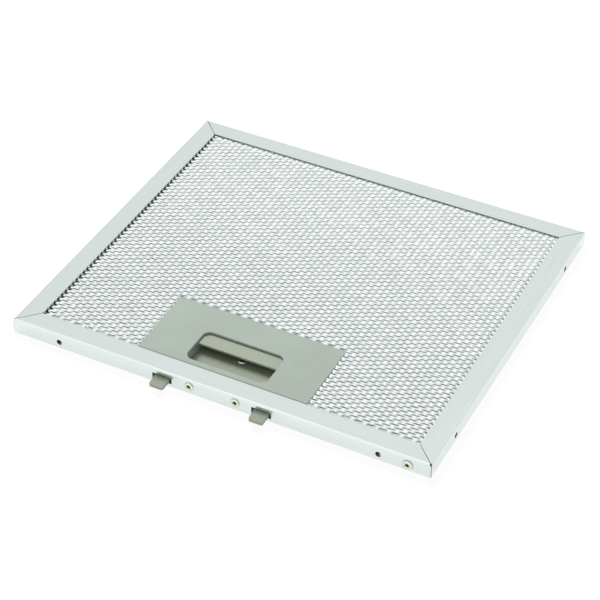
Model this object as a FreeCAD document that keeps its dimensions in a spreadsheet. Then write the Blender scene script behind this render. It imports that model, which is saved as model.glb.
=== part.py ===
"""Cooker hood grease filter: a folded aluminium channel holds a stack of expanded
metal sheets, and a recessed plastic handle carries a sprung slider with two latches.

The filter lies on its back, room side up. X runs along the front rail, Y from the
latches to the far rail, Z up through the thickness. The origin is the centre of the
folded frame, on the plane of its back. Sizes are in millimetres.
"""
import FreeCAD, Part
import math
import os
import Sketcher

# Driving dimensions: name, size, meaning
DIMENSIONS = [
    # Folded frame
    ("frame_width", 305, "frame over its side rails"),
    ("frame_depth", 267, "frame over its front and far rails"),
    ("frame_height", 12, "frame from back to room side"),
    ("sheet_wall", 0.8, "thickness of the folded sheet"),
    ("bend_radius", 1.6, "outside radius of every fold"),
    ("rail_width", 14.3, "flange of each rail"),
    ("seam_gap", 0.4, "open width of the mitre seams"),
    ("notch_width", 1.4, "relief notch at the top of the closing corner"),
    ("notch_reach", 1.5, "that notch, from the outside of the corner"),
    ("notch_height", 1.6, "depth of that notch from the room side"),
    ("end_hole_spacing", 232.8, "distance between the drain holes of the front web"),
    ("side_hole_spacing", 190, "distance between the drain holes of the right web"),
    ("drain_hole", 4, "diameter of the drain holes"),
    ("drain_height", 5.7, "height of the drain holes"),
    ("lap_length", 27, "tongue that laps behind the front web at the closing corner"),
    ("lap_height", 6.4, "height of that tongue"),
    ("lap_gap", 0.1, "gap between tongue and web"),
    ("dimple_inset", 12.5, "pressed dimple, from the front face"),
    ("dimple_diameter", 7, "width of the dimple"),
    ("dimple_depth", 0.4, "depth of the dimple"),
    # Expanded metal sheets
    ("cover_height", 1.7, "raised height of the cover sheets"),
    ("mesh_margin", 3, "from the frame's outside to the edge of the sheets"),
    ("mesh_border", 4, "unbroken border of the sheets, under the flanges"),
    ("mesh_clearance", 0.4, "gap between the sheets and the handle"),
    ("mesh_lean", 26, "lean of the strands in degrees"),
    ("cover_long", 52, "long way of a cover diamond"),
    ("cover_short", 28, "short way of a cover diamond"),
    ("cover_strand", 4.8, "width of a cover strand"),
    ("ridge_width", 4, "raised strand across the middle of every second row of cover diamonds"),
    ("ridge_height", 0.7, "height of that strand above the cover"),
    ("ridge_root", 0.4, "depth of that strand in the cover"),
    ("ridge_gap", 0.8, "from the ends of the raised strands to the flanges"),
    ("layer_count", 4, "filter layers between the covers"),
    ("layer_long", 96, "long way of a filter layer diamond"),
    ("layer_short", 52, "short way of a filter layer diamond"),
    ("layer_strand", 7, "width of a filter layer strand"),
    # Handle mouldings
    ("handle_offset", -1.9, "middle of the latches, from the middle of the frame"),
    ("plate_offset", -1.2, "middle of the plate and its pocket, from the middle of the latches"),
    ("plate_width", 124.6, "width of the handle"),
    ("plate_back", 73.8, "far edge of the handle, from the front face"),
    ("plate_wall", 1.4, "thickness of the plate"),
    ("plate_corner", 1.5, "corner radius of the plate"),
    ("plate_gap", 0.3, "gap between the plate and the front fold"),
    ("rim_chamfer", 0.4, "broken edge of the plate"),
    ("pocket_width", 59, "width of the finger pocket"),
    ("pocket_front", 20.4, "near edge of the pocket, from the front face"),
    ("pocket_back", 49.7, "far edge of the pocket, from the front face"),
    ("pocket_corner", 5, "corner radius of the pocket"),
    ("skirt_wall", 1.2, "walls of the pocket"),
    ("tray_floor", 0.9, "floor of the tray"),
    ("tray_wall", 1.5, "outer walls of the tray"),
    ("guide_wall", 1.2, "ribs that guide the slider"),
    # Latch slider
    ("slide_clearance", 0.3, "running gap round the slider"),
    ("latch_spacing", 72.6, "distance between the latches"),
    ("latch_width", 10.1, "width of a latch"),
    ("arm_width", 8, "arm from a latch to the crossbar"),
    ("latch_height", 3.8, "height of a latch at its root"),
    ("latch_reach", 8.4, "latch outside the front web"),
    ("latch_drop", 1.6, "fall of the latch's upper face to its tip"),
    ("latch_round", 1.2, "corner radius at the tip"),
    ("slot_width", 14.3, "latch slot in the front web"),
    ("slot_height", 4.8, "height of that slot"),
    ("bar_depth", 5.7, "crossbar that joins the latches"),
    ("grip_front", 37.9, "pulling edge of the grip, from the front face"),
    ("grip_wall", 1.6, "thickness of the grip"),
    ("grip_round", 0.6, "edge radius of the grip"),
    # Return springs
    ("spring_spacing", 40, "distance between the springs"),
    ("spring_diameter", 4.4, "outside of a spring"),
    ("spring_wire", 0.6, "wire of a spring"),
    ("spring_turns", 2, "turns of a spring"),
    ("spring_seat", 1.5, "depth of the spring seats in the crossbar"),
    ("spring_fit", 0.3, "gap round a spring in its seat"),
    ("peg_fit", 0.3, "gap between a spring and its peg"),
    ("peg_length", 5, "pegs that hold the springs at the tray wall"),
    # Rivets
    ("rivet_offset", 0.6, "middle of the rivets, from the middle of the latches"),
    ("rivet_spacing", 33.6, "rivets that hold the tray to the front web"),
    ("rivet_height", 6.8, "height of those rivets"),
    ("rivet_head", 6.5, "head of a handle rivet"),
    ("rivet_dome", 1.1, "height of a rivet head"),
    ("rivet_crest", 3.8, "raised ring of a head, round its dish"),
    ("rivet_dish", 0.8, "depth of that dish at the bore"),
    ("rivet_shank", 3.4, "shank of every rivet"),
    ("rivet_bore", 2, "hole through a tubular rivet"),
    ("rivet_tail", 5, "rolled end of a rivet"),
    ("rivet_roll", 0.8, "height of that rolled end"),
    ("rivet_fit", 0.1, "gap round a shank in its hole"),
    ("corner_inset", 16.1, "corner rivet, from the right end of the front rail"),
    ("corner_height", 5.3, "height of the corner rivet"),
    ("corner_head", 7.8, "head of the corner rivet"),
    ("floor_rivet_place", 41.8, "rivet in the pocket floor, from the front face"),
    ("floor_head", 6.2, "head of that rivet"),
    ("floor_roll", 0.3, "flattened end of that rivet"),
    ("washer_diameter", 12, "washer behind the back sheet"),
    ("washer_wall", 0.4, "thickness of that washer"),
    ("washer_hole", 6, "hole left round that rivet in the back sheet"),
]

document = FreeCAD.newDocument("grease_filter")
sheet = document.addObject("Spreadsheet::Sheet", "dims")
for row, (alias, size, meaning) in enumerate(DIMENSIONS, start=1):
    sheet.set(f"A{row}", meaning)
    sheet.set(f"B{row}", str(size))
    sheet.setAlias(f"B{row}", alias)
document.recompute()

# Levels and places that follow from the driving dimensions, as expressions
FRONT = "(-dims.frame_depth / 2)"
LATCH_MIDDLE = "dims.handle_offset"
PLATE_MIDDLE = "(dims.handle_offset + dims.plate_offset)"
RIVET_MIDDLE = "(dims.handle_offset + dims.rivet_offset)"
BACK_SHEET_TOP = "(dims.sheet_wall + dims.cover_height)"
FRONT_SHEET_TOP = "(dims.frame_height - dims.sheet_wall)"
LAYER_HEIGHT = (
    f"(({FRONT_SHEET_TOP} - dims.cover_height - {BACK_SHEET_TOP}) / dims.layer_count)"
)
FLOOR_TOP = f"({BACK_SHEET_TOP} + dims.tray_floor)"
PLATE_TOP = FRONT_SHEET_TOP
PLATE_UNDER = f"({PLATE_TOP} - dims.plate_wall)"
SLIDER_UNDER = f"({FLOOR_TOP} + dims.slide_clearance)"
SLIDER_TOP = f"({PLATE_UNDER} - dims.slide_clearance)"
SPRING_HEIGHT = f"(({SLIDER_UNDER} + {SLIDER_TOP}) / 2)"
BAR_FRONT = "(dims.pocket_back + dims.slide_clearance)"
BAR_BACK = f"({BAR_FRONT} + dims.bar_depth)"
TRAY_BACK = "(dims.plate_back - dims.tray_wall)"


def value(expression):
    """The number that an expression on the sheet gives."""
    return float(sheet.evalExpression(str(expression)))


def from_front(distance):
    """Y of a place at a distance behind the frame's front face."""
    return f"({FRONT} + {distance})"


def across(distance, middle=LATCH_MIDDLE):
    """X of a place at a distance from the middle of the latches or another middle."""
    return f"({middle} + {distance})"


def new_body(label):
    body = document.addObject("PartDesign::Body", label)
    body.Label = label
    return body


def new_sketch(body, name, plane="XY_Plane", offset="0"):
    """Sketch on one of the body's own planes, moved along the plane's normal."""
    sketch = body.newObject("Sketcher::SketchObject", name)
    support = next(f for f in body.Origin.OriginFeatures if f.Role == plane)
    sketch.AttachmentSupport = (support, [""])
    sketch.MapMode = "FlatFace"
    sketch.setExpression("AttachmentOffset.Base.z", offset)
    document.recompute()
    return sketch


def hold_point(sketch, geometry, end, x, y):
    """Tie a point of the sketch to two expressions."""
    for kind, text in (("DistanceX", x), ("DistanceY", y)):
        rule = Sketcher.Constraint(kind, -1, 1, geometry, end, value(text))
        sketch.setExpression(f"Constraints[{sketch.addConstraint(rule)}]", text)


def outline(sketch, points):
    """Closed outline whose corners are pairs of expressions."""
    places = [FreeCAD.Vector(value(x), value(y), 0) for x, y in points]
    first = sketch.GeometryCount
    ends = places[1:] + places[:1]
    sketch.addGeometry([Part.LineSegment(a, b) for a, b in zip(places, ends)], False)
    for index, point in enumerate(points):
        line = first + index
        before = first + (index - 1) % len(points)
        sketch.addConstraint(Sketcher.Constraint("Coincident", before, 2, line, 1))
        hold_point(sketch, line, 1, *point)


def folded_outline(sketch, corners):
    """Closed outline of square corners, each with a fold radius or none, anticlockwise.

    A corner is its x and y, the radius expression, and the way to the arc's centre."""
    count = len(corners)
    places = [FreeCAD.Vector(value(x), value(y), 0) for x, y, _, _ in corners]
    radii = [value(radius) if radius else 0 for _, _, radius, _ in corners]
    first = sketch.GeometryCount
    for index in range(count):
        start, end = places[index], places[(index + 1) % count]
        along = (end - start).normalize()
        trimmed_start = start + along * radii[index]
        trimmed_end = end - along * radii[(index + 1) % count]
        sketch.addGeometry(Part.LineSegment(trimmed_start, trimmed_end), False)
    for index, (x, y, radius, way) in enumerate(corners):
        coming = first + (index - 1) % count
        going = first + index
        if not radius:
            sketch.addConstraint(Sketcher.Constraint("Coincident", coming, 2, going, 1))
            hold_point(sketch, going, 1, x, y)
            continue
        centre = places[index] + FreeCAD.Vector(*way, 0) * radii[index]
        angles = [
            math.atan2(point.y - centre.y, point.x - centre.x)
            for point in (sketch.getPoint(coming, 2), sketch.getPoint(going, 1))
        ]
        turns_left = math.sin(angles[1] - angles[0]) > 0
        if not turns_left:
            angles.reverse()
        round_edge = Part.Circle(centre, FreeCAD.Vector(0, 0, 1), radii[index])
        arc = sketch.addGeometry(Part.ArcOfCircle(round_edge, *angles), False)
        arc_start, arc_end = (1, 2) if turns_left else (2, 1)
        sketch.addConstraint(Sketcher.Constraint("Tangent", coming, 2, arc, arc_start))
        sketch.addConstraint(Sketcher.Constraint("Tangent", arc, arc_end, going, 1))
        hold_point(sketch, arc, 3, f"{x} + {way[0]} * {radius}", f"{y} + {way[1]} * {radius}")
        rule = Sketcher.Constraint("Radius", arc, radii[index])
        sketch.setExpression(f"Constraints[{sketch.addConstraint(rule)}]", radius)


def rectangle(sketch, left, right, near, far):
    outline(sketch, [(left, near), (right, near), (right, far), (left, far)])


def circle(sketch, x, y, diameter):
    """Circle whose centre and diameter are expressions."""
    centre = FreeCAD.Vector(value(x), value(y), 0)
    shape = Part.Circle(centre, FreeCAD.Vector(0, 0, 1), value(diameter) / 2)
    number = sketch.addGeometry(shape, False)
    hold_point(sketch, number, 3, x, y)
    rule = Sketcher.Constraint("Diameter", number, value(diameter))
    sketch.setExpression(f"Constraints[{sketch.addConstraint(rule)}]", diameter)


def pad(body, sketch, length):
    feature = body.newObject("PartDesign::Pad", sketch.Name + "_pad")
    feature.Profile = sketch
    feature.setExpression("Length", length)
    body.Tip = feature
    document.recompute()
    return feature


def pocket(body, sketch, length, ahead=False):
    """Cut against the sketch's normal, or along it when ahead is set."""
    before = body.Shape.Volume
    feature = body.newObject("PartDesign::Pocket", sketch.Name + "_cut")
    feature.Profile = sketch
    feature.setExpression("Length", length)
    feature.Reversed = ahead
    body.Tip = feature
    document.recompute()
    if body.Shape.Volume >= before:
        raise RuntimeError(f"{feature.Name} cut nothing")


def dress_edges(body, kind, setting, size, chosen):
    """Round or break the edges of the body that satisfy the test."""
    base = body.Tip
    names = [f"Edge{n}" for n, edge in enumerate(base.Shape.Edges, start=1) if chosen(edge)]
    feature = body.newObject(f"PartDesign::{kind}", base.Name + "_" + kind.lower())
    feature.Base = (base, names)
    feature.setExpression(setting, size)
    body.Tip = feature
    document.recompute()


def fillet(body, radius, chosen):
    dress_edges(body, "Fillet", "Radius", radius, chosen)


def chamfer(body, size, chosen):
    dress_edges(body, "Chamfer", "Size", size, chosen)


def box_feature(body, kind, name, corner, lengths, turn=0):
    """Additive or subtractive box from its low corner, turned about Z in degrees."""
    feature = body.newObject(f"PartDesign::{kind}Box", name)
    feature.Placement = FreeCAD.Placement(
        FreeCAD.Vector(), FreeCAD.Rotation(FreeCAD.Vector(0, 0, 1), turn)
    )
    for axis, text in zip("xyz", corner):
        feature.setExpression(f"Placement.Base.{axis}", text)
    for size_name, text in zip(("Length", "Width", "Height"), lengths):
        feature.setExpression(size_name, text)
    body.Tip = feature
    document.recompute()


def lies_at(edge, **places):
    """Whether both ends of an edge have the given coordinates."""
    ends = [vertex.Point for vertex in edge.Vertexes]
    return all(
        abs(getattr(end, axis) - place) < 1e-4 for end in ends for axis, place in places.items()
    )


def is_upright(edge):
    return edge.BoundBox.XLength < 1e-4 and edge.BoundBox.YLength < 1e-4


def make_frame():
    """One strip, notched, folded round four corners and closed by a lap."""
    body = new_body("frame_channel")
    half_width = "(dims.frame_width / 2)"
    half_depth = "(dims.frame_depth / 2)"
    section = new_sketch(body, "fold_section", "YZ_Plane")
    flange = from_front("dims.rail_width")
    inner_face = from_front("dims.sheet_wall")
    inner_top = "dims.frame_height - dims.sheet_wall"
    inner_radius = "(dims.bend_radius - dims.sheet_wall)"
    folded_outline(
        section,
        [
            (FRONT, "0", "dims.bend_radius", (1, 1)),
            (flange, "0", None, None),
            (flange, "dims.sheet_wall", None, None),
            (inner_face, "dims.sheet_wall", inner_radius, (1, 1)),
            (inner_face, inner_top, inner_radius, (1, -1)),
            (flange, inner_top, None, None),
            (flange, "dims.frame_height", None, None),
            (FRONT, "dims.frame_height", "dims.bend_radius", (1, -1)),
        ],
    )
    path = new_sketch(body, "fold_path")
    outline(
        path,
        [
            ("0", f"-{half_depth}"),
            (half_width, f"-{half_depth}"),
            (half_width, half_depth),
            (f"-{half_width}", half_depth),
            (f"-{half_width}", f"-{half_depth}"),
        ],
    )
    fold = body.newObject("PartDesign::AdditivePipe", "folded_rails")
    fold.Profile = section
    fold.Spine = path
    fold.Transition = "Right corner"
    body.Tip = fold
    document.recompute()
    # Each seam starts a little inside the window, so that it opens there
    start_x = f"({half_width} - dims.rail_width - dims.seam_gap)"
    start_y = f"({half_depth} - dims.rail_width - dims.seam_gap)"
    cut_seams(body, start_x, start_y)
    punch_webs(body)
    add_lap(body)
    press_dimple(body)
    punch_corner(body)
    return body


def cut_seams(body, start_x, start_y):
    """Mitre seams from the window's corners to the folds, open through one corner."""
    inner = "(dims.rail_width + dims.seam_gap - dims.sheet_wall) * sqrt(2)"
    through = "(dims.rail_width + dims.seam_gap + dims.bend_radius) * sqrt(2)"
    half_gap = "dims.seam_gap / 2 / sqrt(2)"
    corners = (
        ("seam_far_right", 45, inner, start_x, start_y, "+", "-"),
        ("seam_far_left", 135, inner, f"-{start_x}", start_y, "+", "+"),
        ("seam_near_left", 225, inner, f"-{start_x}", f"-{start_y}", "-", "+"),
        ("seam_near_right", 315, through, start_x, f"-{start_y}", "-", "-"),
    )
    for name, turn, length, x, y, side_x, side_y in corners:
        corner = [f"{x} {side_x} {half_gap}", f"{y} {side_y} {half_gap}", "0"]
        box_feature(
            body, "Subtractive", name, corner, [length, "dims.seam_gap", "dims.frame_height"], turn
        )
    half_notch = "dims.notch_width / 2 / sqrt(2)"
    box_feature(
        body,
        "Subtractive",
        "corner_notch",
        [
            f"dims.frame_width / 2 - dims.notch_reach - {half_notch}",
            f"{from_front('dims.notch_reach')} - {half_notch}",
            "dims.frame_height - dims.notch_height",
        ],
        ["(dims.notch_reach + dims.bend_radius) * sqrt(2)", "dims.notch_width", "dims.notch_height"],
        315,
    )
    # The closing corner is relieved inside, so that the lap passes freely
    inner_radius = "(dims.bend_radius - dims.sheet_wall)"
    box_feature(
        body,
        "Subtractive",
        "corner_relief",
        [
            f"dims.frame_width / 2 - dims.sheet_wall - {inner_radius}",
            from_front("dims.sheet_wall"),
            f"dims.sheet_wall + {inner_radius}",
        ],
        [inner_radius, inner_radius, f"dims.frame_height - 2 * dims.sheet_wall - 2 * {inner_radius}"],
    )


def punch_webs(body):
    """Drain holes in the front and right webs, latch slots and rivet holes in front."""
    side_holes = new_sketch(body, "side_holes", "YZ_Plane", "dims.frame_width / 2")
    for side in ("-", ""):
        circle(side_holes, f"{side}dims.side_hole_spacing / 2", "dims.drain_height", "dims.drain_hole")
    pocket(body, side_holes, "2 * dims.sheet_wall")
    slots = new_sketch(body, "web_slots", "XZ_Plane", "dims.frame_depth / 2")
    for side in ("-", ""):
        circle(slots, f"{side}dims.end_hole_spacing / 2", "dims.drain_height", "dims.drain_hole")
    add_latch_slots(slots)
    add_rivet_holes(slots)
    pocket(body, slots, "2 * dims.sheet_wall")


def add_latch_slots(sketch):
    for side in ("-", "+"):
        middle = across(f"0 {side} dims.latch_spacing / 2")
        left = f"{middle} - dims.slot_width / 2"
        right = f"{middle} + dims.slot_width / 2"
        rectangle(sketch, left, right, FLOOR_TOP, f"{FLOOR_TOP} + dims.slot_height")


def add_rivet_holes(sketch):
    for side in ("-", "+"):
        place = across(f"0 {side} dims.rivet_spacing / 2", RIVET_MIDDLE)
        circle(sketch, place, "dims.rivet_height", "dims.rivet_shank + 2 * dims.rivet_fit")


def add_lap(body):
    """Tongue from the right web's end, lying behind the front web."""
    box_feature(
        body,
        "Additive",
        "corner_lap",
        [
            "dims.frame_width / 2 - dims.sheet_wall - dims.lap_length",
            from_front("dims.sheet_wall + dims.lap_gap"),
            "dims.corner_height - dims.lap_height / 2",
        ],
        ["dims.lap_length + dims.sheet_wall / 2", "dims.sheet_wall", "dims.lap_height"],
    )


def press_dimple(body):
    """Shallow round dimple in the right web, near the closing corner."""
    radius = (
        "((dims.dimple_diameter ^ 2 / 4 + dims.dimple_depth ^ 2) / (2 * dims.dimple_depth))"
    )
    ball = body.newObject("PartDesign::SubtractiveSphere", "web_dimple")
    ball.setExpression("Radius", radius)
    ball.setExpression("Placement.Base.x", f"dims.frame_width / 2 + {radius} - dims.dimple_depth")
    ball.setExpression("Placement.Base.y", from_front("dims.dimple_inset"))
    ball.setExpression("Placement.Base.z", "dims.frame_height / 2")
    body.Tip = ball
    document.recompute()


def punch_corner(body):
    hole = new_sketch(body, "corner_hole", "XZ_Plane", "dims.frame_depth / 2")
    place = "dims.frame_width / 2 - dims.corner_inset"
    circle(hole, place, "dims.corner_height", "dims.rivet_shank + 2 * dims.rivet_fit")
    pocket(body, hole, "3 * dims.sheet_wall")


def diamonds(long_way, short_way, strand, shift, clear_of):
    """Corner points of each whole opening of an expanded sheet."""
    reach_x = value("dims.frame_width / 2 - dims.mesh_margin - dims.mesh_border")
    reach_y = value("dims.frame_depth / 2 - dims.mesh_margin - dims.mesh_border")
    apothem = long_way * short_way / (2 * math.hypot(long_way, short_way))
    open_share = 1 - strand / 2 / apothem
    half_long = open_share * long_way / 2
    half_short = open_share * short_way / 2
    columns = math.ceil(reach_x / long_way) + 1
    rows = 2 * math.ceil(reach_y / short_way) + 2
    openings = []
    for row in range(-rows, rows + 1):
        for column in range(-columns, columns + 1):
            x = (column + row % 2 / 2 + shift) * long_way
            y = (row / 2 + shift) * short_way
            if abs(x) + half_long > reach_x or abs(y) + half_short > reach_y:
                continue
            if clear_of(x, y, half_long + strand / 2, half_short + strand / 2):
                ends = ((x - half_long, y), (x, y - half_short), (x + half_long, y), (x, y + half_short))
                openings.append(ends)
    return openings


def draw_openings(sketch, openings):
    for corners in openings:
        places = [FreeCAD.Vector(x, y, 0) for x, y in corners]
        ends = places[1:] + places[:1]
        sketch.addGeometry([Part.LineSegment(a, b) for a, b in zip(places, ends)], False)


def lean_pad(body, sketch, height, lean_sign):
    """Pad along a leaning direction, so that every strand stands at the mesh's lean."""
    feature = pad(body, sketch, height)
    lean = math.radians(value("dims.mesh_lean"))
    feature.UseCustomVector = True
    feature.Direction = FreeCAD.Vector(0, lean_sign * math.sin(lean), math.cos(lean))
    feature.AlongSketchNormal = True
    document.recompute()


def sheet_edges(height, lean_sign):
    """Near and far edge of a leaning sheet's base, so that the sheet stays centred."""
    shift = f"({lean_sign} * {height} * tan(dims.mesh_lean * 1 deg) / 2)"
    half = "(dims.frame_depth / 2 - dims.mesh_margin)"
    return f"-{half} - {shift}", f"{half} - {shift}"


def add_ridges(body, name, numbers, start, end, root, crest, steep_side):
    """Raised strands along X, one for each numbered row of cover diamonds."""
    sketch = new_sketch(body, name, "YZ_Plane", start)
    for number in numbers:
        middle = f"{number} * dims.cover_short / 2"
        near = f"{middle} - dims.ridge_width / 2"
        far = f"{middle} + dims.ridge_width / 2"
        edge = far if steep_side == "far" else near
        outline(sketch, [(near, root), (far, root), (edge, crest)])
    pad(body, sketch, f"{end} - ({start})")


def ridge_rows():
    """Numbers of every second row of cover diamonds inside the frame's window."""
    edge = "dims.frame_depth / 2 - dims.rail_width - dims.ridge_gap - dims.ridge_width / 2"
    count = math.floor(value(edge) / value("dims.cover_short"))
    return range(-2 * count, 2 * count + 1, 2)


def raise_front_strands(body, notch_left, notch_right, notch_far):
    """Raised strands of the room-side cover, whole behind the handle and split beside it."""
    window = "(dims.frame_width / 2 - dims.rail_width - dims.ridge_gap)"
    root = f"{FRONT_SHEET_TOP} - dims.ridge_root"
    crest = f"{FRONT_SHEET_TOP} + dims.ridge_height"
    clear = value(f"{notch_far} + dims.ridge_width")
    pitch = value("dims.cover_short / 2")
    behind = [number for number in ridge_rows() if number * pitch > clear]
    beside = [number for number in ridge_rows() if number * pitch <= clear]
    for name, numbers, start, end in (
        ("strands_behind", behind, f"-{window}", window),
        ("strands_left", beside, f"-{window}", notch_left),
        ("strands_right", beside, notch_right, window),
    ):
        add_ridges(body, name, numbers, start, end, root, crest, "far")


def make_notched_sheet(label, bottom, height, pitch, shift, lean_sign=-1, raised=False):
    """Expanded sheet with a notch at the front edge, where the handle stands."""
    body = new_body(label)
    sketch = new_sketch(body, label + "_outline", offset=bottom)
    near_edge, far_edge = sheet_edges(height, lean_sign)
    half = "(dims.frame_width / 2 - dims.mesh_margin)"
    spread = f"({height} * tan(dims.mesh_lean * 1 deg) + dims.mesh_clearance)"
    left = across(f"-dims.plate_width / 2 - {spread}", PLATE_MIDDLE)
    right = across(f"dims.plate_width / 2 + {spread}", PLATE_MIDDLE)
    notch_far = from_front(f"dims.plate_back + {spread}")
    outline(
        sketch,
        [
            (f"-{half}", near_edge),
            (left, near_edge),
            (left, notch_far),
            (right, notch_far),
            (right, near_edge),
            (half, near_edge),
            (half, far_edge),
            (f"-{half}", far_edge),
        ],
    )
    notch = (value(left), value(right), value(notch_far))

    def clear_of_notch(x, y, half_long, half_short):
        beside = x + half_long < notch[0] or x - half_long > notch[1]
        return beside or y - half_short > notch[2]

    openings = diamonds(*pitch, shift, clear_of_notch)
    draw_openings(sketch, openings)
    print(label, "openings", len(openings))
    lean_pad(body, sketch, height, lean_sign)
    if raised:
        raise_front_strands(body, left, right, notch_far)
    return body


def make_back_sheet(label, pitch, shift, lean_sign=1):
    """Whole expanded sheet, left solid round the rivet of the pocket floor."""
    body = new_body(label)
    sketch = new_sketch(body, label + "_outline", offset="dims.sheet_wall")
    near_edge, far_edge = sheet_edges("dims.cover_height", lean_sign)
    half = "(dims.frame_width / 2 - dims.mesh_margin)"
    rectangle(sketch, f"-{half}", half, near_edge, far_edge)
    rivet_y = from_front("dims.floor_rivet_place")
    middle_shift = f"{lean_sign} * dims.cover_height * tan(dims.mesh_lean * 1 deg) / 2"
    circle(sketch, RIVET_MIDDLE, f"{rivet_y} - {middle_shift}", "dims.washer_hole")
    rivet = (value(RIVET_MIDDLE), value(rivet_y), value("dims.washer_diameter") / 2)

    def clear_of_rivet(x, y, half_long, half_short):
        share = abs(x - rivet[0]) / (half_long + rivet[2]) + abs(y - rivet[1]) / (half_short + rivet[2])
        return share > 1

    openings = diamonds(*pitch, shift, clear_of_rivet)
    draw_openings(sketch, openings)
    print(label, "openings", len(openings))
    lean_pad(body, sketch, "dims.cover_height", lean_sign)
    window = "(dims.frame_width / 2 - dims.rail_width - dims.ridge_gap)"
    root = "dims.sheet_wall + dims.ridge_root"
    crest = "dims.sheet_wall - dims.ridge_height"
    add_ridges(body, "back_strands", ridge_rows(), f"-{window}", window, root, crest, "near")
    washer_room = new_sketch(body, "washer_room", offset="dims.sheet_wall")
    circle(washer_room, RIVET_MIDDLE, rivet_y, "dims.washer_diameter + 2 * dims.mesh_clearance")
    pocket(body, washer_room, "dims.sheet_wall")
    return body


def make_sheets():
    """Two cover sheets and the filter layers between them, each layer out of step."""
    cover = (value("dims.cover_long"), value("dims.cover_short"), value("dims.cover_strand"))
    layer = (value("dims.layer_long"), value("dims.layer_short"), value("dims.layer_strand"))
    count = round(value("dims.layer_count"))
    bodies = [make_back_sheet("back_mesh", cover, 0)]
    for number in range(count):
        bottom = f"{BACK_SHEET_TOP} + {number} * {LAYER_HEIGHT}"
        lean_sign = 1 if number % 2 else -1
        bodies.append(
            make_notched_sheet(
                f"filter_layer_{number + 1}", bottom, LAYER_HEIGHT, layer, number / count, lean_sign
            )
        )
    top = f"{FRONT_SHEET_TOP} - dims.cover_height"
    bodies.append(make_notched_sheet("front_mesh", top, "dims.cover_height", cover, 0, raised=True))
    return bodies


def make_plate():
    """Upper moulding of the handle: plate under the front flange, and pocket walls."""
    body = new_body("handle_plate")
    half = "dims.plate_width / 2"
    near_edge = from_front("dims.bend_radius + dims.plate_gap")
    far_edge = from_front("dims.plate_back")
    face = new_sketch(body, "plate_face", offset=PLATE_UNDER)
    rectangle(face, across(f"-{half}", PLATE_MIDDLE), across(half, PLATE_MIDDLE), near_edge, far_edge)
    pad(body, face, "dims.plate_wall")
    far = value(far_edge)
    fillet(body, "dims.plate_corner", lambda edge: is_upright(edge) and lies_at(edge, y=far))
    cut_finger_pocket(body)
    top = value(PLATE_TOP)
    chamfer(body, "dims.rim_chamfer", lambda edge: lies_at(edge, z=top))
    return body


def cut_finger_pocket(body):
    """Pocket through the plate and the walls below it, open at the far side to the grip."""
    left = across("-dims.pocket_width / 2", PLATE_MIDDLE)
    right = across("dims.pocket_width / 2", PLATE_MIDDLE)
    wall_near = from_front("dims.pocket_front - dims.skirt_wall")
    far_edge = from_front("dims.pocket_back")
    walls = new_sketch(body, "pocket_walls", offset=FLOOR_TOP)
    rectangle(walls, f"{left} - dims.skirt_wall", f"{right} + dims.skirt_wall", wall_near, far_edge)
    pad(body, walls, f"{PLATE_UNDER} - {FLOOR_TOP}")
    mouth = new_sketch(body, "pocket_mouth", offset=FLOOR_TOP)
    rectangle(mouth, left, right, from_front("dims.pocket_front"), far_edge)
    pocket(body, mouth, f"{PLATE_TOP} - {FLOOR_TOP}", ahead=True)
    sides = [value(left), value(right)]
    top = value(PLATE_TOP)

    def at_corner(edge):
        reaches_top = abs(edge.BoundBox.ZMax - top) < 1e-4
        return is_upright(edge) and reaches_top and any(lies_at(edge, x=side) for side in sides)

    fillet(body, "dims.pocket_corner", at_corner)


def make_tray():
    """Lower moulding of the handle: floor, outer walls, slider guides and spring pegs."""
    body = new_body("handle_tray")
    half = "dims.plate_width / 2"
    left = across(f"-{half}", PLATE_MIDDLE)
    right = across(half, PLATE_MIDDLE)
    near_edge = from_front("dims.sheet_wall")
    far_edge = from_front("dims.plate_back")
    floor = new_sketch(body, "tray_floor", offset=BACK_SHEET_TOP)
    rectangle(floor, left, right, near_edge, far_edge)
    pad(body, floor, "dims.tray_floor")

    wall_height = f"{PLATE_UNDER} - {FLOOR_TOP}"
    walls = new_sketch(body, "tray_walls", offset=FLOOR_TOP)
    rectangle(walls, left, right, near_edge, far_edge)
    inner_near = from_front("dims.sheet_wall + dims.tray_wall")
    inner_far = from_front(TRAY_BACK)
    rectangle(walls, f"{left} + dims.tray_wall", f"{right} - dims.tray_wall", inner_near, inner_far)
    pad(body, walls, wall_height)
    far = value(far_edge)
    fillet(body, "dims.plate_corner", lambda edge: is_upright(edge) and lies_at(edge, y=far))

    guide = "(dims.latch_spacing / 2 + dims.latch_width / 2 + dims.slide_clearance)"
    guides = new_sketch(body, "slider_guides", offset=FLOOR_TOP)
    rectangle(guides, across(f"-{guide} - dims.guide_wall"), across(f"-{guide}"), inner_near, inner_far)
    rectangle(guides, across(guide), across(f"{guide} + dims.guide_wall"), inner_near, inner_far)
    pad(body, guides, wall_height)

    pegs = new_sketch(body, "spring_pegs", "XZ_Plane", f"-({inner_far})")
    peg = "dims.spring_diameter - 2 * dims.spring_wire - 2 * dims.peg_fit"
    for side in ("-", "+"):
        circle(pegs, across(f"0 {side} dims.spring_spacing / 2"), SPRING_HEIGHT, peg)
    pad(body, pegs, "dims.peg_length")

    openings = new_sketch(body, "front_openings", "XZ_Plane", "dims.frame_depth / 2")
    add_latch_slots(openings)
    add_rivet_holes(openings)
    pocket(body, openings, "dims.sheet_wall + dims.tray_wall")
    rivet_hole = new_sketch(body, "floor_hole", offset=BACK_SHEET_TOP)
    circle(
        rivet_hole,
        RIVET_MIDDLE,
        from_front("dims.floor_rivet_place"),
        "dims.rivet_shank + 2 * dims.rivet_fit",
    )
    pocket(body, rivet_hole, "dims.tray_floor", ahead=True)
    return body


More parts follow.
